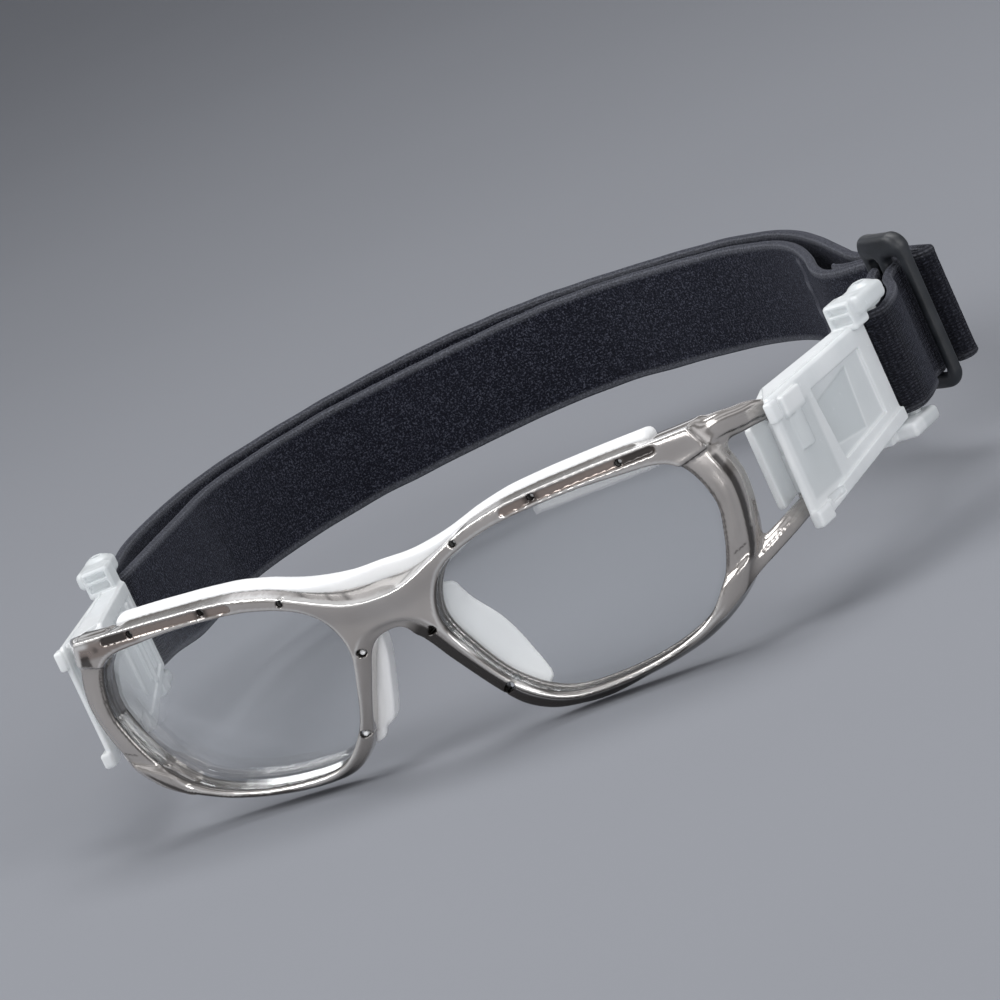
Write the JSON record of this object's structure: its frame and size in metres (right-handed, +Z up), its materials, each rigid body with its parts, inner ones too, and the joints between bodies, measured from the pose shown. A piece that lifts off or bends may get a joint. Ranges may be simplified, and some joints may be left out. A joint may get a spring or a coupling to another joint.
{
  "type": "sports protective goggles",
  "caption": "Sports protective goggles: one-piece front with clear lenses, soft brow and nose pads, swivelling temple clips and an adjustable elastic strap.",
  "frame": {"origin": "under the middle of the whole: the bottom centre of its bounding box, with the rims' lowest point at height 0. The bridge's front surface at eye height is at x 2.4, y -91.1, z 28.2 mm", "axes": "the wearer looks along -Y, +Z is up, +X is the wearer's left (the right-hand side seen from the front); the strap goes back along +Y"},
  "size_m": [0.1792, 0.183, 0.0425],
  "materials": {
    "frame_plastic": "polished translucent smoke-grey polycarbonate",
    "lens": "optically clear polycarbonate",
    "silicone": "soft white silicone",
    "clip_plastic": "milky translucent moulded plastic",
    "pin": "drawn steel pin",
    "webbing": "dark navy elastic webbing, brushed face, light woven edges",
    "slider_plastic": "moulded black plastic"
  },
  "bodies": {
    "frame": {"front_frame": "frame_plastic", "brow_pad": "silicone", "lens_left": "lens", "lens_right": "lens", "nose_pad_left": "silicone", "nose_pad_right": "silicone", "hinge_pin_left": "pin", "hinge_pin_right": "pin", "strap_inner_layer": "webbing", "strap_outer_layer": "webbing"},
    "clip_left": {"clip_housing_left": "clip_plastic", "clip_cover_left": "clip_plastic", "clip_knuckle_left": "clip_plastic", "strap_bar_left": "clip_plastic", "strap_loop_left": "webbing"},
    "clip_right": {"clip_housing_right": "clip_plastic", "clip_cover_right": "clip_plastic", "clip_knuckle_right": "clip_plastic", "strap_bar_right": "clip_plastic", "strap_loop_right": "webbing"},
    "slider": {"strap_slider": "slider_plastic", "strap_slider_fold": "webbing"}
  },
  "joints": [
    {"name": "clip_left_swivel", "type": "hinge", "parent": "frame", "child": "clip_left", "pos_m": [0.07406, -0.06425, 0.02624], "axis": [0, 0, 1], "range_deg": [-3, 7]},
    {"name": "clip_right_swivel", "type": "hinge", "parent": "frame", "child": "clip_right", "pos_m": [-0.06919, -0.06425, 0.02624], "axis": [0, 0, 1], "range_deg": [-7, 3]},
    {"name": "slider_travel", "type": "slide", "parent": "frame", "child": "slider", "axis": [-0.7915, 0.6112, 0], "range_m": [0, 0.012]}
  ]
}
